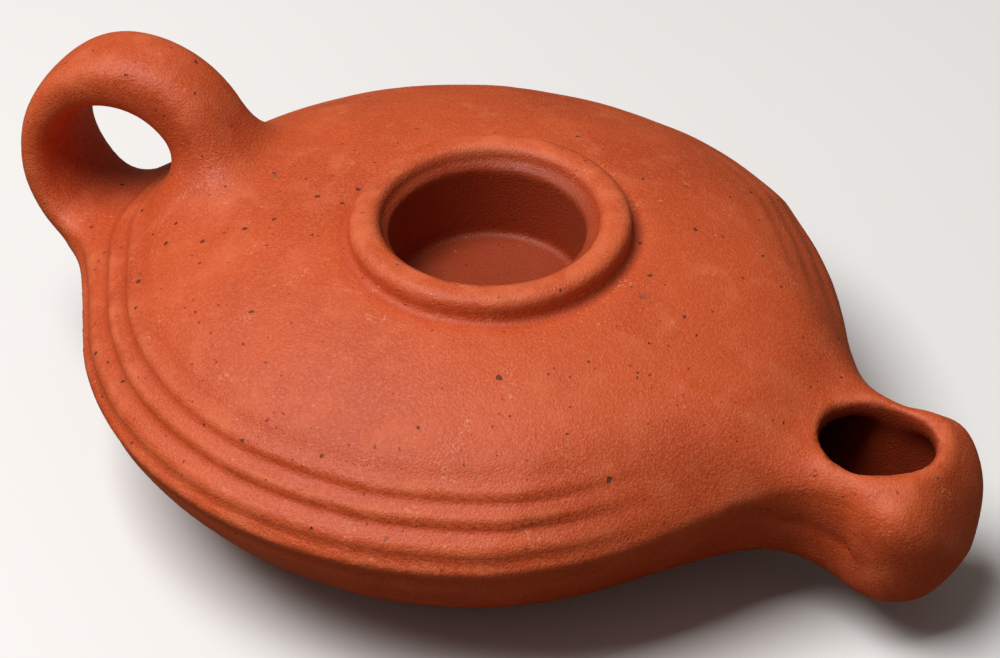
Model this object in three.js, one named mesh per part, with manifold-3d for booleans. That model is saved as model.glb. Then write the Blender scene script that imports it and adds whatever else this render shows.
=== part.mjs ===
// A Roman oil lamp of fired clay, one hollow vessel: a domed body with shoulder grooves, a raised
// collar round the filling well, a nozzle with its wick hole, and a ring handle.
//
// Millimetres, +Z up. The origin is the middle of the flat base, under the body's own axis.
// +X points to the nozzle and -X to the handle.

import * as THREE from 'three';
import { LoftGeometry } from 'three/addons/geometries/LoftGeometry.js';
import { mergeVertices } from 'three/addons/utils/BufferGeometryUtils.js';
import Module from 'manifold-3d';

const wasm = await Module();
wasm.setup();

// Body: a flattened turning, very slightly longer than wide. Its outline above and below the
// widest line is a superellipse, (radius / R) ^ breadth + (height / H) ^ lift = 1.
const BODY_RADIUS = 38.1;
const BODY_STRETCH = 1.038;
const WIDEST_HEIGHT = 17.5;
const DOME = { height: 12.3, breadth: 2.95, lift: 1.27 };
const KEEL = { height: 22.7, breadth: 2.42, lift: 1.42 };
const WALL = 2.6;
const BODY_SIDES = 72;
const DOME_ROW_GAP = 4.0;
const KEEL_ROWS = 6;
const CHAMBER_SIDES = 40;
const CHAMBER_DOME_ROWS = 7;

// Shoulder grooves, by their distance up the shoulder from the widest line, measured along it
const GROOVES = [
  { reach: 8.6, depth: 0.12, halfWidth: 1.0 },
  { reach: 6.3, depth: 0.34, halfWidth: 1.1 },
  { reach: 3.75, depth: 0.38, halfWidth: 1.1 },
  { reach: 0.65, depth: 0.34, halfWidth: 0.8 },
  { reach: -1.6, depth: 0.2, halfWidth: 0.8 },
];
// The grooves run out towards the nozzle between these angles from its line
const GROOVE_END = THREE.MathUtils.degToRad(30);
const GROOVE_FULL = THREE.MathUtils.degToRad(52);

// Collar and filling well, on one upright axis a little towards the nozzle
const WELL_OFFSET = 3.4;
const WELL_RADIUS = 9.9;
const WELL_FLOOR = 21.2;
const LIP_HEIGHT = 29.2;
const LIP_RADIUS = 11.9;
const LIP_RISE = 1.1;
const COLLAR_RADIUS = 14.0;
const COLLAR_BEAD = 1.4;
const COLLAR_SIDES = 56;

// Filling hole through the well's floor
const FILLING_RADIUS = 3.2;
const FILLING_OFFSET = 5.7;

// Nozzle, by stations along X. It flares out of the body, narrows to a neck and ends in a bulb.
// Each section is widest at its own height and rounder (2) or squarer (4) in outline.
const NOZZLE = [
  { x: 24, half: 8.0, top: 27.2, under: 3.0, widest: 17.4, square: 1.9 },
  { x: 28, half: 13.5, top: 26.6, under: 3.2, widest: 17.4, square: 1.9 },
  { x: 32, half: 16.3, top: 25.3, under: 4.7, widest: 17.4, square: 1.9 },
  { x: 34, half: 16.6, top: 24.6, under: 5.4, widest: 17.4, square: 1.9 },
  { x: 36, half: 15.6, top: 23.7, under: 5.9, widest: 17.4, square: 2.0 },
  { x: 38, half: 12.9, top: 22.5, under: 6.2, widest: 17.3, square: 2.3 },
  { x: 40, half: 10.4, top: 21.4, under: 6.3, widest: 17.0, square: 2.7 },
  { x: 42, half: 8.6, top: 20.8, under: 6.1, widest: 16.5, square: 3.2 },
  { x: 46, half: 7.4, top: 20.4, under: 5.2, widest: 14.5, square: 4.0 },
  { x: 50, half: 8.5, top: 20.1, under: 5.2, widest: 13.3, square: 4.0 },
  { x: 52.5, half: 8.6, top: 19.4, under: 5.7, widest: 13.3, square: 3.8 },
  { x: 54.5, half: 7.4, top: 17.9, under: 6.4, widest: 12.9, square: 3.4 },
  { x: 56.3, half: 4.9, top: 15.1, under: 7.9, widest: 11.9, square: 2.8 },
  { x: 57.6, half: 1.2, top: 12.4, under: 10.2, widest: 11.3, square: 2.2 },
];
const NOZZLE_STEPS = 22;
const NOZZLE_SIDES = 28;
const NOZZLE_WALL = 2.1;

// Wick hole, an upright oval
const WICK_X = 46.5;
const WICK_HALF_LENGTH = 5.8;
const WICK_HALF_WIDTH = 5.2;
const CHANNEL_START = 31;
const CHANNEL_END = 54.6;
const CHANNEL_STEPS = 12;
const CHANNEL_SIDES = 20;

// Handle: a ring set a little askew on the back of the shoulder, a broad strap in section that
// thickens towards the body
const HANDLE_CENTRE = new THREE.Vector3(-38.7, -1.5, 25.6);
const HANDLE_RADIUS_X = 9.8;
const HANDLE_RADIUS_Z = 9.5;
const HANDLE_TWIST = THREE.MathUtils.degToRad(7.3);
const HANDLE_LEAN = THREE.MathUtils.degToRad(-4);
const HANDLE_HALF_THICK = 2.8;
const HANDLE_HALF_WIDE = 5.6;
const HANDLE_SQUARENESS = 2.6;
const HANDLE_FOOT_SWELL = 0.3;
const HANDLE_STEPS = 34;
const HANDLE_SIDES = 18;

const CLAY = new THREE.MeshStandardMaterial({ color: 0xc4582f, roughness: 0.85, metalness: 0.0 });

// A closed geometry as a solid that can be joined and cut
function solid(geometry) {
  const bare = new THREE.BufferGeometry().copy(geometry);
  bare.deleteAttribute('normal');
  bare.deleteAttribute('uv');
  const merged = mergeVertices(bare, 1e-4);
  const index = merged.index.array;
  const triangles = [];
  for (let i = 0; i < index.length; i += 3) {
    const [a, b, c] = [index[i], index[i + 1], index[i + 2]];
    if (a !== b && b !== c && c !== a) {
      triangles.push(a, b, c);
    }
  }
  return new wasm.Manifold(new wasm.Mesh({
    numProp: 3,
    vertProperties: new Float32Array(merged.attributes.position.array),
    triVerts: new Uint32Array(triangles),
  }));
}

// An outline of radius and height, from low on the axis to high on the axis, turned about Z
function turned(outline, sides) {
  return new THREE.LatheGeometry(outline, sides).rotateX(Math.PI / 2);
}

// One quarter of the body's outline, from the widest line (angle 0) to the axis
function quarterPoint(form, side, inset, angle) {
  const radius = (BODY_RADIUS - inset) * Math.max(Math.cos(angle), 0) ** (2 / form.breadth);
  const height = (form.height - inset) * Math.sin(angle) ** (2 / form.lift);
  return new THREE.Vector2(radius, WIDEST_HEIGHT + side * height);
}

// The angle at which the underside reaches the flat base, or the floor inside it
function baseAngle(inset) {
  const share = (WIDEST_HEIGHT - inset) / (KEEL.height - inset);
  return Math.asin(share ** (KEEL.lift / 2));
}

// The body's outline as a curve, by distance from the widest line
class Quarter extends THREE.Curve {
  constructor(form, side, lastAngle) {
    super();
    this.form = form;
    this.side = side;
    this.lastAngle = lastAngle;
  }

  getPoint(t) {
    return quarterPoint(this.form, this.side, 0, t * this.lastAngle);
  }
}

function smoothstep(low, high, value) {
  return THREE.MathUtils.smoothstep(value, low, high);
}

// How deep the grooves are at a distance along the shoulder
function grooveDepth(reach) {
  return GROOVES.reduce(
    (sum, groove) => sum + groove.depth * Math.exp(-(((reach - groove.reach) / groove.halfWidth) ** 2) * 2),
    0,
  );
}

// Distances from the widest line for the rows of one quarter, close together at the grooves
function rowReaches(length, side, gap) {
  const steps = Math.ceil(length / gap);
  const even = Array.from({ length: steps + 1 }, (_, i) => (i / steps) * length);
  const fine = GROOVES.flatMap((groove) => [-1, 0, 1].map(
    (offset) => side * (groove.reach + offset * groove.halfWidth),
  )).filter((reach) => reach > 0 && reach < length);
  const kept = even.filter((reach) => reach === 0 || reach === length
    || fine.every((other) => Math.abs(other - reach) > 0.8));
  return [...kept, ...fine].sort((a, b) => a - b)
    .filter((reach, i, all) => i === 0 || reach - all[i - 1] > 0.2);
}

// The body's outer skin, a turning whose shoulder is then pressed in along each groove
function bodyGeometry() {
  const rows = [{ point: new THREE.Vector2(0, 0), inward: new THREE.Vector2(), depth: 0 }];
  const addRows = (curve, side, gap) => {
    const length = curve.getLength();
    const reaches = rowReaches(length, side, gap);
    const made = reaches.map((reach) => {
      const point = curve.getPointAt(reach / length);
      const tangent = curve.getTangentAt(reach / length);
      const inward = new THREE.Vector2(-tangent.y * side, tangent.x * side);
      return { point, inward, depth: grooveDepth(side * reach) };
    });
    rows.push(...(side > 0 ? made.slice(1) : made.reverse()));
  };
  const keelCurve = new Quarter(KEEL, -1, baseAngle(0));
  addRows(keelCurve, -1, keelCurve.getLength() / KEEL_ROWS);
  addRows(new Quarter(DOME, 1, Math.PI / 2), 1, DOME_ROW_GAP);
  rows[rows.length - 1].point.x = 0;
  const geometry = new THREE.LatheGeometry(rows.map((row) => row.point), BODY_SIDES);
  const position = geometry.attributes.position;
  for (let i = 0; i < position.count; i += 1) {
    const row = rows[i % rows.length];
    const side = Math.floor(i / rows.length) % BODY_SIDES;
    const turn = (side / BODY_SIDES) * Math.PI * 2;
    // A lathe starts at +Z and turns to +X; once upright that is the lamp's -Y
    const fromNozzle = Math.abs(THREE.MathUtils.euclideanModulo(turn + Math.PI / 2, Math.PI * 2) - Math.PI);
    const depth = row.depth * smoothstep(GROOVE_END, GROOVE_FULL, fromNozzle);
    const radius = row.point.x + row.inward.x * depth;
    position.setXYZ(i, radius * Math.sin(turn), row.point.y + row.inward.y * depth, radius * Math.cos(turn));
  }
  return geometry.rotateX(Math.PI / 2).scale(BODY_STRETCH, 1, 1);
}

// The oil chamber, the body's form set in by the wall
function chamberGeometry() {
  const outline = [new THREE.Vector2(0, WALL)];
  const last = baseAngle(WALL);
  for (let i = KEEL_ROWS; i > 0; i -= 1) {
    outline.push(quarterPoint(KEEL, -1, WALL, (i / KEEL_ROWS) * last));
  }
  for (let i = 0; i <= CHAMBER_DOME_ROWS; i += 1) {
    outline.push(quarterPoint(DOME, 1, WALL, (i / CHAMBER_DOME_ROWS) * (Math.PI / 2)));
  }
  outline[outline.length - 1].x = 0;
  return turned(outline, CHAMBER_SIDES).scale(BODY_STRETCH, 1, 1);
}

// A round of the outline between two angles about a centre
function round(centreRadius, centreHeight, radius, from, to, steps) {
  return Array.from({ length: steps + 1 }, (_, i) => {
    const angle = THREE.MathUtils.degToRad(from + ((to - from) * i) / steps);
    return new THREE.Vector2(centreRadius + radius * Math.cos(angle), centreHeight + radius * Math.sin(angle));
  });
}

// The collar's outer form, a full disc that the well is then cut from
function collarGeometry() {
  const beadHeight = LIP_HEIGHT + LIP_RISE + 0.25 - COLLAR_BEAD;
  const outline = [
    new THREE.Vector2(0, LIP_HEIGHT - 4),
    new THREE.Vector2(COLLAR_RADIUS - 0.3, LIP_HEIGHT - 4),
    ...round(COLLAR_RADIUS - COLLAR_BEAD, beadHeight, COLLAR_BEAD, -20, 90, 6),
    new THREE.Vector2(0, beadHeight + COLLAR_BEAD),
  ];
  return turned(outline, COLLAR_SIDES).translate(WELL_OFFSET, 0, 0);
}

// What is cut for the well: the straight shaft and the sloping lip above it
function wellGeometry() {
  const outline = [
    new THREE.Vector2(0, WELL_FLOOR),
    new THREE.Vector2(WELL_RADIUS - 0.5, WELL_FLOOR),
    new THREE.Vector2(WELL_RADIUS, WELL_FLOOR + 0.5),
    new THREE.Vector2(WELL_RADIUS, LIP_HEIGHT),
    new THREE.Vector2(LIP_RADIUS, LIP_HEIGHT + LIP_RISE),
    new THREE.Vector2(LIP_RADIUS + 0.5, LIP_HEIGHT + LIP_RISE + 0.3),
    new THREE.Vector2(LIP_RADIUS + 0.5, LIP_HEIGHT + 6),
    new THREE.Vector2(0, LIP_HEIGHT + 6),
  ];
  return turned(outline, COLLAR_SIDES).translate(WELL_OFFSET, 0, 0);
}

// A plain upright round or oval pillar between two heights
function pillar(x, halfLength, halfWidth, low, high, sides) {
  const outline = [
    new THREE.Vector2(0, low),
    new THREE.Vector2(1, low),
    new THREE.Vector2(1, high),
    new THREE.Vector2(0, high),
  ];
  return turned(outline, sides).scale(halfLength, halfWidth, 1).translate(x, 0, 0);
}

// A size of the nozzle at a place between its stations, on a smooth curve through them
function nozzleSize(key, x) {
  const last = NOZZLE.length - 1;
  const next = NOZZLE.findIndex((station) => station.x > x);
  const i = next < 0 ? last - 1 : Math.max(next - 1, 0);
  const slopeAt = (k) => {
    const [low, high] = [NOZZLE[Math.max(k - 1, 0)], NOZZLE[Math.min(k + 1, last)]];
    return (high[key] - low[key]) / (high.x - low.x);
  };
  const [from, to] = [NOZZLE[i], NOZZLE[i + 1]];
  const span = to.x - from.x;
  const t = (x - from.x) / span;
  return (2 * t ** 3 - 3 * t ** 2 + 1) * from[key] + (t ** 3 - 2 * t ** 2 + t) * span * slopeAt(i)
    + (3 * t ** 2 - 2 * t ** 3) * to[key] + (t ** 3 - t ** 2) * span * slopeAt(i + 1);
}

// Sine or cosine bent so that the oval it draws has fuller corners
function bent(value, squareness) {
  return Math.sign(value) * Math.abs(value) ** (2 / squareness);
}

// The nozzle's section at x, set in by a wall
function nozzleSection(x, inset, sides) {
  const [half, top, under, widest, square] = ['half', 'top', 'under', 'widest', 'square']
    .map((key) => nozzleSize(key, x));
  return Array.from({ length: sides }, (_, i) => {
    const angle = (i / sides) * Math.PI * 2;
    const up = bent(Math.sin(angle), square);
    const rise = up > 0 ? top - inset - widest : widest - under - inset;
    return new THREE.Vector3(x, (half - inset) * bent(Math.cos(angle), square), widest + rise * up);
  });
}

function nozzleGeometry(from, to, inset, steps, sides) {
  const sections = Array.from({ length: steps + 1 }, (_, i) => {
    // Sections crowd together towards the rounded end
    const t = Math.sin((i / steps) * (Math.PI / 2));
    return nozzleSection(from + (to - from) * t, inset, sides);
  });
  return new LoftGeometry(sections, { capStart: true, capEnd: true });
}

// The handle: a strap's section carried all the way round the ring
function handleGeometry() {
  const sections = Array.from({ length: HANDLE_STEPS + 1 }, (_, i) => {
    const angle = ((i % HANDLE_STEPS) / HANDLE_STEPS) * Math.PI * 2;
    const [across, up] = [Math.cos(angle), Math.sin(angle)];
    const swell = 1 + HANDLE_FOOT_SWELL * ((1 - up) / 2) ** 2;
    const thick = HANDLE_HALF_THICK * (1 + 0.25 * across + 0.18 * up) * swell;
    const wide = HANDLE_HALF_WIDE * (1 - 0.12 * across - 0.14 * up) * swell;
    return Array.from({ length: HANDLE_SIDES }, (__, k) => {
      const around = (k / HANDLE_SIDES) * Math.PI * 2;
      const out = thick * bent(Math.cos(around), HANDLE_SQUARENESS);
      return new THREE.Vector3(
        across * (HANDLE_RADIUS_X + out),
        wide * bent(Math.sin(around), HANDLE_SQUARENESS),
        up * (HANDLE_RADIUS_Z + out),
      );
    });
  });
  return new LoftGeometry(sections).rotateX(HANDLE_LEAN).rotateZ(HANDLE_TWIST)
    .translate(HANDLE_CENTRE.x, HANDLE_CENTRE.y, HANDLE_CENTRE.z);
}

// The whole vessel: the outer forms joined, then every hollow cut
function lampGeometry() {
  const nozzle = nozzleGeometry(NOZZLE[0].x, NOZZLE.at(-1).x, 0, NOZZLE_STEPS, NOZZLE_SIDES);
  const outer = [bodyGeometry(), collarGeometry(), nozzle, handleGeometry()]
    .map(solid)
    .reduce((joined, piece) => joined.add(piece));
  const wellSleeve = pillar(WELL_OFFSET, WELL_RADIUS + WALL, WELL_RADIUS + WALL, WELL_FLOOR - WALL, 60, 48);
  const wickPillar = pillar(WICK_X, WICK_HALF_LENGTH, WICK_HALF_WIDTH, WIDEST_HEIGHT - 6, 60, 40);
  const fillingPillar = pillar(
    WELL_OFFSET + FILLING_OFFSET, FILLING_RADIUS, FILLING_RADIUS, WELL_FLOOR - WALL - 1, WELL_FLOOR + 1, 24,
  );
  const hollow = solid(chamberGeometry())
    .subtract(solid(wellSleeve))
    .add(solid(nozzleGeometry(CHANNEL_START, CHANNEL_END, NOZZLE_WALL, CHANNEL_STEPS, CHANNEL_SIDES)))
    .add(solid(wellGeometry()))
    .add(solid(wickPillar))
    .add(solid(fillingPillar));
  const mesh = outer.subtract(hollow).getMesh();
  const geometry = new THREE.BufferGeometry();
  geometry.setAttribute('position', new THREE.BufferAttribute(mesh.vertProperties, 3));
  geometry.setIndex(new THREE.BufferAttribute(mesh.triVerts, 1));
  geometry.computeVertexNormals();
  return geometry;
}

const lamp = new THREE.Mesh(lampGeometry(), CLAY);
lamp.name = 'lamp';

const oilLamp = new THREE.Group();
oilLamp.add(lamp);

export default oilLamp;
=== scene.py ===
"""A Roman oil lamp of fired clay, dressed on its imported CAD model.

The lamp's clay skin is worked out as one continuous form: a flattened body, a nozzle and a ring
handle that flow into each other as wet clay does, a collar set on top, and the hollows cut out of
them. Its finish is a procedural terracotta. All forms are worked out in millimetres.
"""

import math

import bpy
import numpy as np
from bpy.props import FloatProperty, FloatVectorProperty, PointerProperty
from mathutils import Matrix, Vector


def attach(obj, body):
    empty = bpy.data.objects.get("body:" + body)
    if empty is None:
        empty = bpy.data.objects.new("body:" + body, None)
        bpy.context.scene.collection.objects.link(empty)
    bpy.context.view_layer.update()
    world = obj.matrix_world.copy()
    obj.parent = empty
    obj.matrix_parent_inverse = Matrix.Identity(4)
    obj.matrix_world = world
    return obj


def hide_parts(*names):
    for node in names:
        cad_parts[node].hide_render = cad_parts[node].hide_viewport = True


bl_info = {
    "name": "Roman Oil Lamp",
    "version": (1, 0, 0),
    "blender": (4, 5, 0),
    "location": "3D View > Sidebar > Oil Lamp",
    "description": "Builds a terracotta oil lamp and its stage on the packed model",
    "category": "Add Mesh",
}

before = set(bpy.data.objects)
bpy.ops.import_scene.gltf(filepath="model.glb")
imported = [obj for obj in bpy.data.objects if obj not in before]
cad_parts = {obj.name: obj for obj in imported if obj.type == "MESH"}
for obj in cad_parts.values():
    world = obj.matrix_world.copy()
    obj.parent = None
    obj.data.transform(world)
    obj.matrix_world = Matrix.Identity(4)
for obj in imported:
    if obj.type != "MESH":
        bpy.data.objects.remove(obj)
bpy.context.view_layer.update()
MM = 0.001

# The photograph's frame
IMAGE_WIDTH = 1000
IMAGE_HEIGHT = 658


# Sizes and colours that a user would change

class LampSizes(bpy.types.PropertyGroup):
    """The lamp's driving sizes"""

    body_radius: FloatProperty(
        name="Body radius", description="Radius of the body at its widest line",
        default=38.08 * MM, unit="LENGTH")
    widest_height: FloatProperty(
        name="Widest line", description="Height of the body's widest line above the base",
        default=17.5 * MM, unit="LENGTH")
    dome_height: FloatProperty(
        name="Dome height", description="Rise of the body's top above the widest line",
        default=12.3 * MM, unit="LENGTH")
    wall: FloatProperty(
        name="Wall", description="Thickness of the body's clay wall",
        default=2.5 * MM, unit="LENGTH")
    well_radius: FloatProperty(
        name="Well radius", description="Radius of the filling well",
        default=9.9 * MM, unit="LENGTH")
    collar_radius: FloatProperty(
        name="Collar radius", description="Outer radius of the collar round the well",
        default=14.1 * MM, unit="LENGTH")
    grain: FloatProperty(
        name="Skin grain", description="Spacing of the points that the skin is worked out on",
        default=0.62 * MM, unit="LENGTH")


class LampColours(bpy.types.PropertyGroup):
    """The fired clay's colours"""

    clay: FloatVectorProperty(
        name="Clay", description="Main colour of the fired clay", subtype="COLOR",
        size=3, min=0.0, max=1.0, default=(0.60, 0.088, 0.021))
    clay_light: FloatVectorProperty(
        name="Light clay", description="Rubbed and scuffed clay", subtype="COLOR",
        size=3, min=0.0, max=1.0, default=(0.74, 0.165, 0.062))
    # Dark clay is used for the darker mottled patches, and as painted shade in the sunken places such as the grooves.
    clay_dark: FloatVectorProperty(
        name="Dark clay", description="Clay in grooves and darker patches", subtype="COLOR",
        size=3, min=0.0, max=1.0, default=(0.46, 0.055, 0.012))
    # The inside colour is painted shade in the well and the hollows, and partly oil and soot stain on their walls.
    inside: FloatVectorProperty(
        name="Inside", description="Clay darkened by oil and soot inside the lamp", subtype="COLOR",
        size=3, min=0.0, max=1.0, default=(0.27, 0.032, 0.007))
    pore:FloatVectorProperty(
        name="Pores", description="Small open pores and dark grains", subtype="COLOR",
        size=3, min=0.0, max=1.0, default=(0.050, 0.022, 0.012))
    grit: FloatVectorProperty(
        name="Grit", description="Coarser grey grains in the clay", subtype="COLOR",
        size=3, min=0.0, max=1.0, default=(0.17, 0.095, 0.070))
    fleck: FloatVectorProperty(
        name="Flecks", description="Pale sandy grains in the clay", subtype="COLOR",
        size=3, min=0.0, max=1.0, default=(0.80, 0.36, 0.19))


# The lamp's form, in millimetres. Each form is a field: negative in the clay, zero on the skin.

BODY_STRETCH = 1.038
DOME_BREADTH, DOME_LIFT = 2.945, 1.268
KEEL_HEIGHT, KEEL_BREADTH, KEEL_LIFT = 22.67, 2.415, 1.419
BASE_EDGE = 1.0

# Shoulder grooves, by distance up the shoulder from the widest line, and their depths. The clay
# between two grooves is a rounded rib.
GROOVES = ((-1.85, 0.33), (0.5, 0.50), (3.6, 0.58), (6.3, 0.50), (8.85, 0.20))
GROOVE_FLANK = 1.0
RIB_FULLNESS = 1.2
# Angles to the nozzle's line where they end and where they are full, on the -Y and on the +Y
# side. On the +Y side they climb the shoulder between two angles and are shallower.
GROOVE_ENDS = (math.radians(26), math.radians(19))
GROOVE_FULL = (math.radians(52), math.radians(31))
GROOVE_CLIMB, CLIMB_START, CLIMB_END = 2.4, math.radians(140), math.radians(80)
CLIMB_SHALLOWER = 0.75

WELL_X = 3.4
WELL_FLOOR = 21.15
LEDGE_HEIGHT, LEDGE_SLOPE = 29.2, 0.3
# How dark the ledge and the ring's inner face beside the well are made: painted shade.
LEDGE_SHADE = 0.9
# The collar's ring sits a little off the well's middle. Its top is all but flat, with round edges.
RING_SHIFT = (0.24, 0.14)
RING_HALF, RING_TOP, RING_ROUND = 1.58, 31.3, 0.8
RING_CROWN = 0.05
FOOT_TROUGH, TROUGH_WIDTH = 0.5, 1.4
FILLING_X = WELL_X + 5.7
FILLING_RADIUS = 3.2

# Nozzle stations along X: half width, top and underside
NOZZLE_X = (22.0, 34.0, 40.0, 46.0, 52.0, 58.0, 64.0)
NOZZLE_HALF = (10.2, 7.2, 6.45, 7.1, 9.55, 10.4, 11.5)
NOZZLE_TOP = (20.6, 20.55, 18.7, 19.95, 20.2, 18.3, 17.4)
NOZZLE_UNDER = (13.75, 9.1, 7.1, 5.15, 4.2, 0.95, -1.2)
NOZZLE_SQUARE = 4.24
NOZZLE_TIP = 57.74
NOZZLE_NOSE = 10.8
NOZZLE_END_TILT = math.radians(-9.1)
NOZZLE_BLEND = 10.5
NOZZLE_WALL = 1.7
# The nozzle's front is pressed flat, leaning back towards its top
FRONT_POINT, FRONT_LEAN = (55.05, 18.1), math.radians(24)
# Lines left by the maker's tool on the nozzle: raised beside the wick hole and where the neck
# meets the bulb, sunk along the flank
RAISED_LINES = (
    (0.22, 0.75, ((30.0, -8.3, 25.6), (35.3, -6.95, 23.7), (40.6, -5.25, 20.8))),
    (0.12, 0.7, ((37.6, -1.6, 22.7), (40.4, 1.0, 21.2))),
    (0.32, 0.8, ((48.6, -6.85, 19.1), (48.4, -8.0, 15.4), (48.6, -8.0, 12.6))),
)
FLANK_LINE = (0.26, 0.7, ((37.7, 13.2, 16.8), (41.4, 8.4, 13.5), (47.0, 7.5, 12.1)))

# Wick hole: an oval set askew, with a low ridge on its far side from the body
WICK_X = 46.65
WICK_TURN = math.radians(30)
WICK_LENGTH, WICK_WIDTH = 5.7, 5.0
WICK_ROUND, WELL_ROUND = 0.7, 0.5
WICK_RIDGE, RIDGE_PLACE, RIDGE_WIDTH = 0.14, 1.5, 0.55

HANDLE_CENTRE = (-38.72, -1.5, 25.55)
HANDLE_RADIUS_X, HANDLE_RADIUS_Z = 9.79, 9.55
HANDLE_TWIST = math.radians(7.27)
HANDLE_LEAN = math.radians(-3.95)
HANDLE_THICK, HANDLE_WIDE = 2.8, 5.6
HANDLE_SQUARE = 2.67
HANDLE_BLEND = 6.33


def smooth_least(a, b, blend):
    """The lesser of two fields, rounded where they meet."""
    h = np.clip(0.5 + 0.5 * (b - a) / blend, 0.0, 1.0)
    return b * (1 - h) + a * h - blend * h * (1 - h)


def smooth_most(a, b, blend):
    return -smooth_least(-a, -b, blend)


def ramp(value, low, high):
    t = np.clip((value - low) / (high - low), 0.0, 1.0)
    return t * t * (3 - 2 * t)


def waves(x, y, z, wavelength, seed, count=9):
    """Soft unevenness of about -1 to 1: a few plane waves in seeded directions."""
    random = np.random.default_rng(seed)
    total = 0.0
    for _ in range(count):
        direction = random.normal(size=3)
        direction *= 2 * math.pi / (wavelength * random.uniform(0.75, 1.35) * np.linalg.norm(direction))
        total = total + np.sin(x * direction[0] + y * direction[1] + z * direction[2] + random.uniform(0, 6.28))
    return total / math.sqrt(count * 2)


def along_line(x, y, z, width, places):
    """1 on a line through the places, falling off softly over its width."""
    nearest = np.inf
    for start, end in zip(places, places[1:]):
        start, way = np.array(start), np.array(end) - np.array(start)
        across = (x - start[0], y - start[1], z - start[2])
        share = np.clip(sum(a * b for a, b in zip(across, way)) / (way @ way), 0, 1)
        nearest = np.minimum(nearest, sum((a - share * b) ** 2 for a, b in zip(across, way)))
    return np.exp(-nearest / width**2)


def station_curve(heights):
    """A smooth curve through the nozzle's stations that doesn't overshoot them."""
    x, y = np.array(NOZZLE_X), np.array(heights)
    step = np.diff(x)
    slope = np.diff(y) / step
    tangent = np.zeros_like(y)
    tangent[0], tangent[-1] = slope[0], slope[-1]
    same = slope[1:] * slope[:-1] > 0
    near, far = 2 * step[1:] + step[:-1], step[1:] + 2 * step[:-1]
    mean = (near + far) / (near / np.where(same, slope[:-1], 1) + far / np.where(same, slope[1:], 1))
    tangent[1:-1] = np.where(same, mean, 0)

    def curve(at):
        at = np.clip(at, x[0], x[-1])
        i = np.clip(np.searchsorted(x, at, side="right") - 1, 0, len(step) - 1)
        t = (at - x[i]) / step[i]
        return ((2 * t**3 - 3 * t**2 + 1) * y[i] + (t**3 - 2 * t**2 + t) * step[i] * tangent[i]
                + (3 * t**2 - 2 * t**3) * y[i + 1] + (t**3 - t**2) * step[i] * tangent[i + 1])

    return curve


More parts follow.
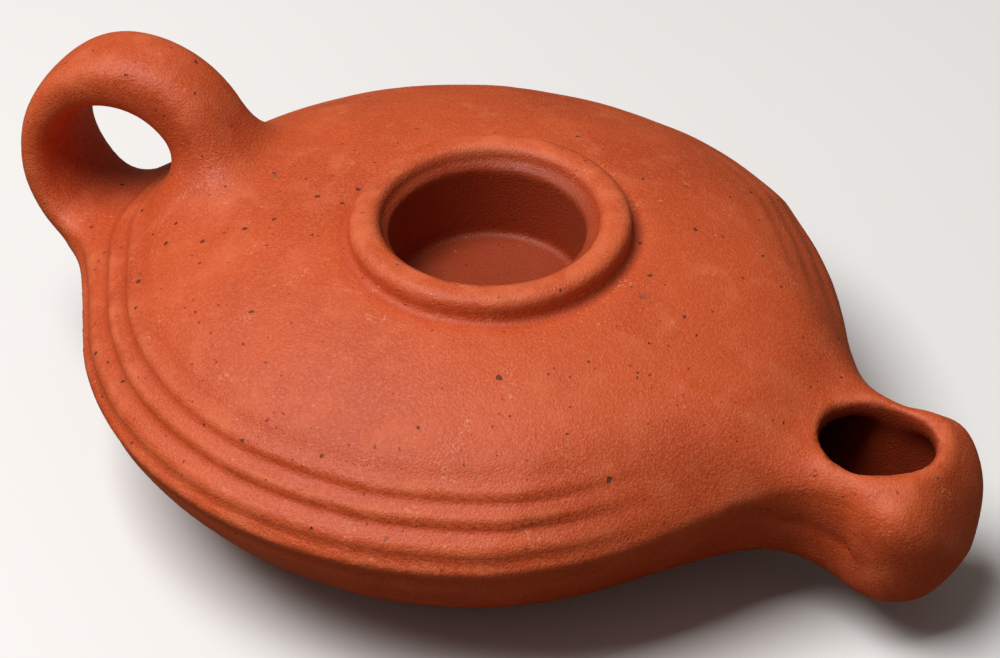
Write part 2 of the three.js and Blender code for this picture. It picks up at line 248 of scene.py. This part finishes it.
class LampForm:
    """The lamp's clay as one field, for the sizes given."""

    def __init__(self, sizes):
        self.radius = sizes.body_radius / MM
        self.widest = sizes.widest_height / MM
        self.dome = sizes.dome_height / MM
        self.wall = sizes.wall / MM
        self.well = sizes.well_radius / MM
        self.collar = sizes.collar_radius / MM
        self.nozzle_half = station_curve(NOZZLE_HALF)
        self.nozzle_top = station_curve(NOZZLE_TOP)
        self.nozzle_under = station_curve(NOZZLE_UNDER)
        self.reach_angles, self.reaches = self.shoulder_reaches()

    def shoulder_reaches(self):
        """Distance along the body's outline from the widest line, by the angle seen from its axis."""
        t = np.linspace(-1, 1, 801) * math.pi / 2
        breadth = np.where(t > 0, DOME_BREADTH, KEEL_BREADTH)
        lift = np.where(t > 0, DOME_LIFT, KEEL_LIFT)
        height = np.where(t > 0, self.dome, KEEL_HEIGHT)
        across = self.radius * np.maximum(np.cos(t), 0) ** (2 / breadth)
        up = np.sign(t) * height * np.abs(np.sin(t)) ** (2 / lift)
        length = np.concatenate([[0], np.cumsum(np.hypot(np.diff(across), np.diff(up)))])
        return np.arctan2(up, across), length - length[400]

    def groove_depth(self, x, y, z):
        angle = np.arctan2(z - self.widest, np.hypot(x / BODY_STRETCH, y))
        turn = np.arctan2(y, x)
        climb = (turn > 0) * ramp(-turn, -CLIMB_START, -CLIMB_END)
        reach = np.interp(angle, self.reach_angles, self.reaches) - GROOVE_CLIMB * climb
        places, depths = (np.array(values) for values in zip(*GROOVES))
        rib = np.interp(reach, places, np.arange(len(places)))
        within = (0.5 + 0.5 * np.cos(2 * math.pi * rib)) ** RIB_FULLNESS
        beyond = np.maximum(np.maximum(places[0] - reach, reach - places[-1]), 0)
        depth = np.interp(reach, places, depths) * within * np.exp(-((beyond / GROOVE_FLANK) ** 2))
        end = np.where(turn > 0, GROOVE_ENDS[1], GROOVE_ENDS[0])
        full = np.where(turn > 0, GROOVE_FULL[1], GROOVE_FULL[0])
        return depth * ramp(np.abs(turn), end, full) * (1 - CLIMB_SHALLOWER * climb)

    def body(self, x, y, z):
        rho = np.maximum(np.hypot(x / BODY_STRETCH, y) / self.radius, 1e-4)
        rise = z - self.widest
        breadth = np.where(rise > 0, DOME_BREADTH, KEEL_BREADTH)
        lift = np.where(rise > 0, DOME_LIFT, KEEL_LIFT)
        height = np.where(rise > 0, self.dome, KEEL_HEIGHT)
        share = np.maximum(np.abs(rise) / height, 1e-4)
        across, up = rho**breadth, share**lift
        total = across + up
        mean = 0.5 * (breadth + lift)
        unit = total ** (1 / mean)
        scale = unit / (mean * total)
        slope = np.hypot(scale * breadth * across / rho / self.radius, scale * lift * up / share / height)
        skin = (unit - 1) / np.maximum(slope, 1e-3)
        return smooth_most(skin, -z, BASE_EDGE)

    def nozzle(self, x, y, z):
        half, top, under = self.nozzle_half(x), self.nozzle_top(x), self.nozzle_under(x)
        middle, tall = (top + under) / 2, (top - under) / 2
        across, up = np.abs(y) / half, np.abs(z - middle) / tall
        ring = (across**NOZZLE_SQUARE + up**NOZZLE_SQUARE) ** (1 / NOZZLE_SQUARE)
        side = (ring - 1) * np.minimum(half, tall)
        end = (x - NOZZLE_TIP) * math.cos(NOZZLE_END_TILT) + (z - 12.7) * math.sin(NOZZLE_END_TILT)
        nose = smooth_most(side, end, NOZZLE_NOSE)
        front = (x - FRONT_POINT[0]) * math.cos(FRONT_LEAN) + (z - FRONT_POINT[1]) * math.sin(FRONT_LEAN)
        return smooth_most(smooth_most(nose, front, 0.7), 14 - x, 3.0)

    def from_wick(self, x, y):
        """Distance out from the wick hole's oval."""
        along = (x - WICK_X) * math.cos(WICK_TURN) + y * math.sin(WICK_TURN)
        across = y * math.cos(WICK_TURN) - (x - WICK_X) * math.sin(WICK_TURN)
        return (np.hypot(along / WICK_LENGTH, across / WICK_WIDTH) - 1) * WICK_WIDTH

    def tool_lines(self, x, y, z):
        """How far the maker's lines on the nozzle stand out, or lie in below 0."""
        if np.max(x) < 26:
            return 0.0
        height = WICK_RIDGE * np.exp(-(((self.from_wick(x, y) - RIDGE_PLACE) / RIDGE_WIDTH) ** 2))
        height = height * ramp(x, WICK_X - 2, WICK_X + 2)
        for rise, width, places in RAISED_LINES:
            height = height + rise * along_line(x, y, z, width, places)
        depth, width, places = FLANK_LINE
        return height - depth * along_line(x, np.abs(y), z, width, places)

    def handle(self, x, y, z):
        x, y, z = x - HANDLE_CENTRE[0], y - HANDLE_CENTRE[1], z - HANDLE_CENTRE[2]
        cos, sin = math.cos(HANDLE_TWIST), math.sin(HANDLE_TWIST)
        x, y = x * cos + y * sin, -x * sin + y * cos
        cos, sin = math.cos(HANDLE_LEAN), math.sin(HANDLE_LEAN)
        y, z = y * cos + z * sin, -y * sin + z * cos
        u, v = x / HANDLE_RADIUS_X, z / HANDLE_RADIUS_Z
        ring = np.maximum(np.hypot(u, v), 1e-3)
        outward = (ring - 1) * np.hypot(x, z) / ring
        cos, sin = u / ring, v / ring
        thick = HANDLE_THICK * (1 + 0.25 * cos + 0.175 * sin)
        wide = HANDLE_WIDE * (1 - 0.118 * cos - 0.139 * sin)
        strap = (np.abs(outward / thick) ** HANDLE_SQUARE + np.abs(y / wide) ** HANDLE_SQUARE) ** (1 / HANDLE_SQUARE)
        return (strap - 1) * np.minimum(thick, wide)

    def from_collar(self, x, y):
        """Distance out from the collar's outer face."""
        return np.hypot(x - WELL_X - RING_SHIFT[0], y - RING_SHIFT[1]) - self.collar

    def collar_ring(self, x, y, z):
        """The collar before the well is cut: a ring with a ledge inside it."""
        across = self.from_collar(x, y) + RING_HALF
        ledge = z - LEDGE_HEIGHT - LEDGE_SLOPE * (np.hypot(x - WELL_X, y) - self.well)
        ledge = np.maximum(ledge, across)
        beside = np.abs(across) - RING_HALF + RING_ROUND
        above = z - RING_TOP + RING_ROUND + RING_CROWN * across**2
        corner = np.hypot(np.maximum(beside, 0), np.maximum(above, 0))
        ring = corner + np.minimum(np.maximum(beside, above), 0) - RING_ROUND
        return smooth_least(ledge, ring, 1.0)

    def foot_trough(self, x, y):
        """How deep the shoulder is pressed in round the collar's foot."""
        out = self.from_collar(x, y)
        return FOOT_TROUGH * np.exp(-((np.maximum(out, 0) / TROUGH_WIDTH) ** 2)) * ramp(out, -3.0, -2.0)

    def hollow(self, x, y, z, inner):
        """Everything that is open: the oil chamber, the nozzle's channel, the well and the holes."""
        wall = self.wall + (NOZZLE_WALL - self.wall) * ramp(x, 30, 42)
        chamber = inner + wall
        out = np.hypot(x - WELL_X, y)
        sleeve = smooth_most(out - self.well - self.wall, WELL_FLOOR - self.wall - z, 1.5)
        chamber = smooth_most(chamber, -sleeve, 1.2)
        well = smooth_most(out - self.well, WELL_FLOOR - z, 0.35)
        wick = smooth_most(self.from_wick(x, y), 12.0 - z, 1.0)
        filling = np.hypot(x - FILLING_X, y) - FILLING_RADIUS
        filling = smooth_most(filling, np.abs(z - WELL_FLOOR + 1.0) - 3.5, 0.6)
        chamber = smooth_least(chamber, filling, 0.4)
        return np.minimum(smooth_least(chamber, wick, 0.5), well)

    def soot_and_shade(self, x, y, z):
        """How much painted shade, with some oil and soot stain, darkens the clay: 1 on the hollow's walls, less
        inside the collar.
        """
        inner = smooth_least(self.body(x, y, z), self.nozzle(x, y, z), NOZZLE_BLEND)
        walls = 1 - ramp(self.hollow(x, y, z, inner), 0.02, 0.3)
        beside_well = 1 - ramp(np.hypot(x - WELL_X, y) - self.well, 0.5, 1.9)
        return np.maximum(walls * (z < LEDGE_HEIGHT), LEDGE_SHADE * beside_well)

    def clay(self, x, y, z):
        """The whole lamp."""
        body, nozzle = self.body(x, y, z), self.nozzle(x, y, z)
        inner = smooth_least(body, nozzle, NOZZLE_BLEND)
        pressed = body + self.groove_depth(x, y, z) + self.foot_trough(x, y)
        outer = smooth_least(pressed, nozzle, NOZZLE_BLEND)
        outer = smooth_least(outer, self.handle(x, y, z), HANDLE_BLEND)
        outer = outer - self.tool_lines(x, y, z)
        outer = smooth_least(outer, self.collar_ring(x, y, z), 0.8)
        outer = outer + 0.09 * waves(x, y, z, 24, 3) + 0.04 * waves(x, y, z, 8, 5)
        outer = smooth_most(outer, -z, 0.4)
        edge_round = WELL_ROUND + (WICK_ROUND - WELL_ROUND) * ramp(x, 30, 38)
        return smooth_most(outer, -self.hollow(x, y, z, inner), edge_round)


# The skin over a field

def sample(field, low, counts, step):
    """The field's values on a grid of points, worked out one slab at a time."""
    y, z = (low[i] + step * np.arange(counts[i]) for i in (1, 2))
    y, z = y[None, :, None], z[None, None, :]
    values = np.empty(counts, np.float32)
    slab = 12
    for start in range(0, counts[0], slab):
        x = low[0] + step * np.arange(start, min(start + slab, counts[0]))
        values[start:start + len(x)] = field(x[:, None, None], y, z)
    return values


def skin_over(field, low, high, step):
    """Points and four-sided faces on the zero surface of a field: one point in each crossed cell."""
    counts = np.ceil((np.array(high) - low) / step).astype(int) + 1
    values = sample(field, low, counts, step)
    inside = values < 0
    cells = tuple(counts - 1)
    total = np.zeros(cells + (3,), np.float32)
    hits = np.zeros(cells, np.int16)
    crossings = []
    for axis in range(3):
        first = [slice(None)] * 3
        second = [slice(None)] * 3
        first[axis], second[axis] = slice(0, -1), slice(1, None)
        a, b = values[tuple(first)], values[tuple(second)]
        crossed = inside[tuple(first)] != inside[tuple(second)]
        edge = np.argwhere(crossed)
        share = a[crossed] / (a[crossed] - b[crossed])
        point = edge.astype(np.float32)
        point[:, axis] += share
        crossings.append((axis, edge, inside[tuple(first)][crossed]))
        others = [k for k in range(3) if k != axis]
        for p in (0, 1):
            for q in (0, 1):
                cell = edge.copy()
                cell[:, others[0]] -= p
                cell[:, others[1]] -= q
                held = np.all((cell >= 0) & (cell < np.array(cells)), axis=1)
                place = tuple(cell[held].T)
                np.add.at(total, place, point[held])
                np.add.at(hits, place, 1)
    active = hits > 0
    number = np.full(cells, -1, np.int64)
    number[active] = np.arange(int(active.sum()))
    points = np.array(low) + step * (total[active] / hits[active][:, None]).astype(float)
    faces = []
    for axis, edge, starts_inside in crossings:
        u, v = (axis + 1) % 3, (axis + 2) % 3
        corners = []
        for p, q in ((0, 0), (1, 0), (1, 1), (0, 1)):
            cell = edge.copy()
            cell[:, u] -= p
            cell[:, v] -= q
            corners.append(number[tuple(cell.T)])
        quad = np.stack(corners, axis=1)
        quad[~starts_inside] = quad[~starts_inside][:, ::-1]
        faces.append(quad)
    return points, np.concatenate(faces)


def slope_of(field, points, gap=0.02):
    """The field's gradient at points."""
    slopes = []
    for axis in range(3):
        nudge = np.zeros(3)
        nudge[axis] = gap
        slopes.append((field(*(points + nudge).T) - field(*(points - nudge).T)) / (2 * gap))
    return np.stack(slopes, axis=1)


def settle(field, points, step, rounds=3):
    """Moves points straight on to the zero surface."""
    for _ in range(rounds):
        slope = slope_of(field, points)
        size = np.maximum((slope**2).sum(axis=1), 0.05)
        move = -field(*points.T)[:, None] * slope / size[:, None]
        length = np.linalg.norm(move, axis=1, keepdims=True)
        points = points + move * np.minimum(1, 0.6 * step / np.maximum(length, 1e-9))
    return points


def quad_edges(faces):
    return np.concatenate([faces[:, [i, (i + 1) % 4]] for i in range(4)])


def smooth_values(values, edges, count, rounds):
    """Each point's value averaged with its neighbours' a number of times."""
    degree = np.bincount(edges[:, 0], minlength=count) + np.bincount(edges[:, 1], minlength=count)
    for _ in range(rounds):
        near = np.bincount(edges[:, 0], values[edges[:, 1]], count) + np.bincount(edges[:, 1], values[edges[:, 0]], count)
        values = 0.5 * values + 0.5 * near / np.maximum(degree, 1)
    return values


def bulge(points, faces, rounds):
    """How far each point stands out of (above 0) or lies back from its surroundings, in millimetres."""
    edges = quad_edges(faces)
    count = len(points)
    smoothed = np.stack([smooth_values(points[:, i], edges, count, rounds) for i in range(3)], axis=1)
    return points - smoothed


# Terracotta

def node_tree(name):
    material = bpy.data.materials.new(name)
    material.use_nodes = True
    material.node_tree.nodes.clear()
    return material, material.node_tree


class Nodes:
    """Short calls for the shader nodes that the clay uses."""

    def __init__(self, tree):
        self.tree = tree

    def add(self, kind, inputs=(), **settings):
        node = self.tree.nodes.new("ShaderNode" + kind)
        for key, value in settings.items():
            setattr(node, key, value)
        for socket, value in dict(inputs).items():
            target = node.inputs[socket]
            if isinstance(value, bpy.types.NodeSocket):
                self.tree.links.new(value, target)
            else:
                target.default_value = value
        return node

    def math(self, operation, a, b=0.0, clamp=False):
        return self.add("Math", {0: a, 1: b}, operation=operation, use_clamp=clamp).outputs[0]

    def scaled(self, value, times):
        return self.math("MULTIPLY", value, times)

    def between(self, value, low, high):
        """0 below low, 1 above high, smooth between."""
        node = self.add("MapRange", {"Value": value, "From Min": low, "From Max": high}, interpolation_type="SMOOTHSTEP")
        return node.outputs["Result"]

    def mix(self, share, a, b, blend="MIX"):
        node = self.add("Mix", {"Factor": share, "A": a, "B": b}, data_type="RGBA", blend_type=blend)
        return node.outputs["Result"]

    def noise(self, where, scale, detail=3.0, rough=0.5, warp=0.0):
        node = self.add("TexNoise", {
            "Vector": where, "Scale": scale, "Detail": detail, "Roughness": rough, "Distortion": warp})
        return node.outputs["Fac"]

    def cells(self, where, scale, feature="F1"):
        return self.add("TexVoronoi", {"Vector": where, "Scale": scale}, feature=feature)


def rgba(colour):
    return (colour[0], colour[1], colour[2], 1.0)


def spots(nodes, where, scale, size, share):
    """Scattered round spots: 1 inside a spot, by the spacing, the spot's size and the share of cells with one."""
    cells = nodes.cells(where, scale)
    chosen = nodes.add("SeparateColor", {"Color": cells.outputs["Color"]})
    has = nodes.math("LESS_THAN", chosen.outputs["Red"], share)
    varied = nodes.math("MULTIPLY_ADD", chosen.outputs["Green"], size * 0.8)
    varied.node.inputs[2].default_value = size * 0.45
    soft = nodes.math("SUBTRACT", varied, cells.outputs["Distance"])
    spot = nodes.math("MULTIPLY", soft, 1.0 / (size * 0.35), clamp=True)
    return nodes.math("MULTIPLY", spot, has)


def terracotta(colours):
    """Unglazed fired clay: sandy grain, mottling, pores, pale flecks and rubbed edges, with painted shade in the
    sunken places and inside the well.
    """
    material, tree = node_tree("terracotta")
    nodes = Nodes(tree)
    place = nodes.add("TexCoord").outputs["Object"]
    ragged = nodes.add("VectorMath", {
        0: place,
        1: nodes.add("VectorMath", {
            0: nodes.add("TexNoise", {"Vector": place, "Scale": 3200.0, "Detail": 2.0}).outputs["Color"],
            1: (0.0005, 0.0005, 0.0005)}, operation="MULTIPLY").outputs[0]}, operation="ADD").outputs[0]

    cloud = nodes.noise(place, 55.0, 4.0, 0.55, 0.3)
    patch = nodes.noise(place, 230.0, 4.0, 0.6, 0.4)
    sand = nodes.noise(place, 3400.0, 2.0, 0.6)
    clay = nodes.mix(nodes.scaled(nodes.between(cloud, 0.36, 0.68), 0.7), rgba(colours.clay), rgba(colours.clay_dark))
    clay = nodes.mix(nodes.scaled(nodes.between(patch, 0.48, 0.72), 0.4), clay, rgba(colours.clay_light))
    clay = nodes.mix(nodes.scaled(nodes.between(sand, 0.42, 0.70), 0.45), clay, rgba(colours.clay_light))

    bulging = nodes.add("Attribute", attribute_name="bulge").outputs["Fac"]
    rubbed = nodes.math("MULTIPLY", nodes.between(bulging, 0.02, 0.16), nodes.between(patch, 0.35, 0.65))
    clay = nodes.mix(nodes.scaled(rubbed, 0.45), clay, rgba(colours.clay_light))
    # Sunken places such as the grooves and creases are darkened: painted shade.
    sunken_shade = nodes.between(nodes.scaled(bulging, -1.0), 0.02, 0.20)
    clay = nodes.mix(nodes.scaled(sunken_shade, 0.5), clay, rgba(colours.clay_dark))
    # Darker clay on the walls of the well and the hollows and beside the well: painted shade, partly oil and soot
    # stain.
    soot_and_shade = nodes.add("Attribute", attribute_name="soot_and_shade").outputs["Fac"]
    clay = nodes.mix(nodes.scaled(soot_and_shade, 0.9), clay, rgba(colours.inside))

    scuff = nodes.math("MULTIPLY", nodes.between(nodes.noise(place, 300.0, 5.0, 0.6), 0.60, 0.70),
                       nodes.between(sand, 0.50, 0.62))
    scuff = nodes.math("MULTIPLY", scuff, nodes.math("SUBTRACT", 1.0, soot_and_shade))
    clay = nodes.mix(nodes.scaled(scuff, 0.4), clay, rgba(colours.fleck))
    flecks = spots(nodes, ragged, 620.0, 0.075, 0.43)
    clay = nodes.mix(nodes.scaled(flecks, 0.5), clay, rgba(colours.fleck))
    grits = spots(nodes, ragged, 190.0, 0.07, 0.6)
    pores = spots(nodes, ragged, 400.0, 0.10, 0.6)
    specks = spots(nodes, ragged, 900.0, 0.12, 0.5)
    open_pore = nodes.math("MAXIMUM", pores, nodes.scaled(specks, 0.7))
    clay = nodes.mix(nodes.scaled(grits, 0.55), clay, rgba(colours.grit))
    clay = nodes.mix(nodes.scaled(open_pore, 0.85), clay, rgba(colours.pore))

    relief = nodes.scaled(nodes.noise(place, 4200.0, 2.0, 0.6), 0.9)
    relief = nodes.math("ADD", relief, nodes.scaled(nodes.noise(place, 2200.0, 2.0, 0.5), 0.3))
    relief = nodes.math("ADD", relief, nodes.scaled(nodes.noise(place, 420.0, 2.0, 0.5), 0.3))
    relief = nodes.math("SUBTRACT", relief, nodes.scaled(open_pore, 0.9))
    relief = nodes.math("SUBTRACT", relief, nodes.scaled(grits, 0.4))
    bump = nodes.add("Bump", {"Height": relief, "Strength": 0.9, "Distance": 0.00013})
    rough = nodes.add("MapRange", {"Value": patch, "From Min": 0.3, "From Max": 0.7, "To Min": 0.42, "To Max": 0.58})
    shader = nodes.add("BsdfPrincipled", {
        "Base Color": clay, "Roughness": rough.outputs["Result"], "Normal": bump.outputs["Normal"]})
    shader.inputs["IOR"].default_value = 1.45
    shader.inputs["Specular IOR Level"].default_value = 0.45
    output = nodes.add("OutputMaterial")
    tree.links.new(shader.outputs["BSDF"], output.inputs["Surface"])
    return material


# The operators

class LAMP_OT_clay(bpy.types.Operator):
    """Make the clay lamp and set it in the frame's place"""

    bl_idname = "oil_lamp.clay"
    bl_label = "Make the lamp"

    def execute(self, context):
        sizes = context.scene.oil_lamp_sizes
        form = LampForm(sizes)
        step = sizes.grain / MM
        low = np.array([-53.0, -41.0, -1.5])
        high = np.array([60.0, 41.0, 41.0])
        points, faces = skin_over(form.clay, low, high, step)
        points = settle(form.clay, points, step)
        print("skin:", len(points), "points,", 2 * len(faces), "triangles")
        mesh = bpy.data.meshes.new("clay_lamp")
        mesh.from_pydata((points * MM).tolist(), [], faces.tolist())
        mesh.update()
        mesh.polygons.foreach_set("use_smooth", [True] * len(mesh.polygons))
        slope = slope_of(form.clay, points)
        slope /= np.linalg.norm(slope, axis=1, keepdims=True)
        standing = (bulge(points, faces, 12) * slope).sum(axis=1)
        # The second attribute marks where the clay is darkened inside the well and the hollows: painted shade, with
        # some oil stain.
        for name, values in (("bulge", standing), ("soot_and_shade", form.soot_and_shade(*points.T))):
            attribute = mesh.attributes.new(name, "FLOAT", "POINT")
            attribute.data.foreach_set("value", values.astype(np.float32))
        mesh.materials.append(terracotta(context.scene.oil_lamp_colours))
        lamp = bpy.data.objects.new("clay_lamp", mesh)
        context.scene.collection.objects.link(lamp)
        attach(lamp, "root")
        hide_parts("lamp")
        return {"FINISHED"}


def look_from(azimuth, elevation, roll):
    """The camera's right, up and backward directions for a view round the lamp."""
    az, el, turn = (math.radians(angle) for angle in (azimuth, elevation, roll))
    back = Vector((math.sin(az) * math.cos(el), -math.cos(az) * math.cos(el), math.sin(el)))
    level = Vector((math.cos(az), math.sin(az), 0))
    upright = back.cross(level)
    right = level * math.cos(turn) + upright * math.sin(turn)
    up = -level * math.sin(turn) + upright * math.cos(turn)
    return right, up, back


def area_light(scene, name, place, target, size, power, colour):
    light = bpy.data.lights.new(name, "AREA")
    light.shape = "RECTANGLE"
    light.size, light.size_y = size
    light.energy = power
    light.color = colour
    lamp = bpy.data.objects.new(name, light)
    scene.collection.objects.link(lamp)
    lamp.location = place
    lamp.rotation_mode = "QUATERNION"
    lamp.rotation_quaternion = (Vector(place) - Vector(target)).to_track_quat("Z", "Y")
    return lamp


# The camera: its view of the lamp, how far off it stands, and where in the picture it sees the
# middle of the body's widest line
CAMERA_AZIMUTH, CAMERA_ELEVATION, CAMERA_ROLL = 30.5, 39.38, -0.975
CAMERA_DISTANCE = 300.1
PIXELS_PER_MM = 9.7
TARGET_PIXEL = (460.77, 310.56)
SENSOR_WIDTH = 36.0
# The key light: the way to it along the camera's right, up and back, and its distance
KEY_WAY = (-0.366, 0.645, 0.670)
KEY_DISTANCE, KEY_SIZE, KEY_POWER = 0.57, 0.34, 3.7
FLOOR_BOUNCE = (0.20, 0.12, 0.07, 1)


class LAMP_OT_stage(bpy.types.Operator):
    """Make the floor, the soft studio light and the camera"""

    bl_idname = "oil_lamp.stage"
    bl_label = "Make the stage"

    def execute(self, context):
        scene = context.scene
        right, up, back = look_from(CAMERA_AZIMUTH, CAMERA_ELEVATION, CAMERA_ROLL)
        target = Vector((0, 0, scene.oil_lamp_sizes.widest_height / MM))
        aside = right * (TARGET_PIXEL[0] - IMAGE_WIDTH / 2) / PIXELS_PER_MM
        above = up * (TARGET_PIXEL[1] - IMAGE_HEIGHT / 2) / PIXELS_PER_MM
        data = bpy.data.cameras.new("camera")
        data.sensor_fit = "HORIZONTAL"
        data.sensor_width = SENSOR_WIDTH
        data.lens = SENSOR_WIDTH * PIXELS_PER_MM * CAMERA_DISTANCE / IMAGE_WIDTH
        data.clip_start, data.clip_end = 0.01, 20.0
        camera = bpy.data.objects.new("camera", data)
        camera.matrix_world = (
            Matrix.Translation((target + back * CAMERA_DISTANCE - aside + above) * MM)
            @ Matrix((right, up, back)).transposed().to_4x4()
        )
        scene.collection.objects.link(camera)
        scene.camera = camera

        floor_material, tree = node_tree("pale_floor")
        nodes = Nodes(tree)
        place = nodes.add("TexCoord").outputs["Object"]
        faint = nodes.noise(place, 6.0, 2.0)
        pale = nodes.mix(nodes.between(faint, 0.3, 0.7), (0.86, 0.86, 0.86, 1), (0.88, 0.88, 0.88, 1))
        # The floor throws little light back, so that the lamp's underside stays dark
        seen = nodes.add("LightPath").outputs["Is Camera Ray"]
        colour = nodes.mix(seen, FLOOR_BOUNCE, pale)
        shader = nodes.add("BsdfPrincipled", {"Base Color": colour, "Roughness": 0.9})
        shader.inputs["Specular IOR Level"].default_value = 0.1
        output = nodes.add("OutputMaterial")
        tree.links.new(shader.outputs["BSDF"], output.inputs["Surface"])
        mesh = bpy.data.meshes.new("floor")
        reach = 3.0
        mesh.from_pydata([(-reach, -reach, 0), (reach, -reach, 0), (reach, reach, 0), (-reach, reach, 0)], [], [(0, 1, 2, 3)])
        mesh.materials.append(floor_material)
        floor = bpy.data.objects.new("floor", mesh)
        scene.collection.objects.link(floor)

        world = bpy.data.worlds.new("studio")
        world.use_nodes = True
        background = world.node_tree.nodes["Background"]
        background.inputs["Color"].default_value = (1.0, 0.90, 0.81, 1.0)
        background.inputs["Strength"].default_value = 0.11
        scene.world = world
        scene.view_settings.view_transform = "Standard"
        middle = target * MM
        key = middle + (right * KEY_WAY[0] + up * KEY_WAY[1] + back * KEY_WAY[2]) * KEY_DISTANCE
        area_light(scene, "key", key, middle, (KEY_SIZE, KEY_SIZE), KEY_POWER, (1.0, 0.98, 0.96))
        return {"FINISHED"}


class LAMP_PT_panel(bpy.types.Panel):
    """The lamp's sizes, colours and operators"""

    bl_label = "Oil Lamp"
    bl_idname = "LAMP_PT_panel"
    bl_space_type = "VIEW_3D"
    bl_region_type = "UI"
    bl_category = "Oil Lamp"

    def draw(self, context):
        layout = self.layout
        for group in (context.scene.oil_lamp_sizes, context.scene.oil_lamp_colours):
            box = layout.box()
            for key in group.bl_rna.properties.keys():
                if key not in ("rna_type", "name"):
                    box.prop(group, key)
        layout.operator(LAMP_OT_clay.bl_idname)
        layout.operator(LAMP_OT_stage.bl_idname)


CLASSES = (LampSizes, LampColours, LAMP_OT_clay, LAMP_OT_stage, LAMP_PT_panel)


def register():
    for cls in CLASSES:
        bpy.utils.register_class(cls)
    bpy.types.Scene.oil_lamp_sizes = PointerProperty(type=LampSizes)
    bpy.types.Scene.oil_lamp_colours = PointerProperty(type=LampColours)


def unregister():
    del bpy.types.Scene.oil_lamp_colours
    del bpy.types.Scene.oil_lamp_sizes
    for cls in reversed(CLASSES):
        bpy.utils.unregister_class(cls)


def main():
    register()
    bpy.ops.oil_lamp.clay()
    bpy.ops.oil_lamp.stage()


if __name__ == "__main__":
    main()
